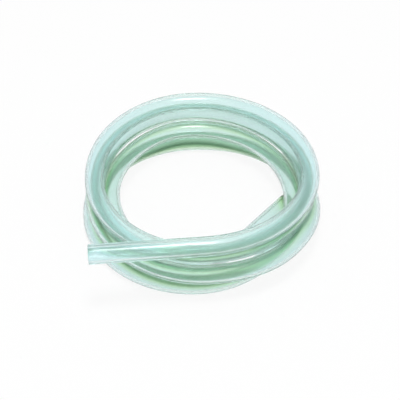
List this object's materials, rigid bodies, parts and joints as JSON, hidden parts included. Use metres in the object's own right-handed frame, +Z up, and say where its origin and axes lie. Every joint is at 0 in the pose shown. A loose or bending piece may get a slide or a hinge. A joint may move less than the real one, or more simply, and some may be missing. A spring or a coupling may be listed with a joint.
{
  "type": "tubing coil",
  "caption": "Loose coil of clear soft laboratory tubing, one hollow length with square-cut open ends, lying flat.",
  "frame": {"origin": "on the surface the coil lies on, under the middle of its outline", "axes": "+X along the straight top end towards the coil, +Z up out of the coil"},
  "size_m": [0.117, 0.1206, 0.0369],
  "materials": {
    "silicone": "clear, softly glossy, with a faint aqua tint"
  },
  "bodies": {
    "root": {"tube": "silicone"}
  },
  "joints": []
}
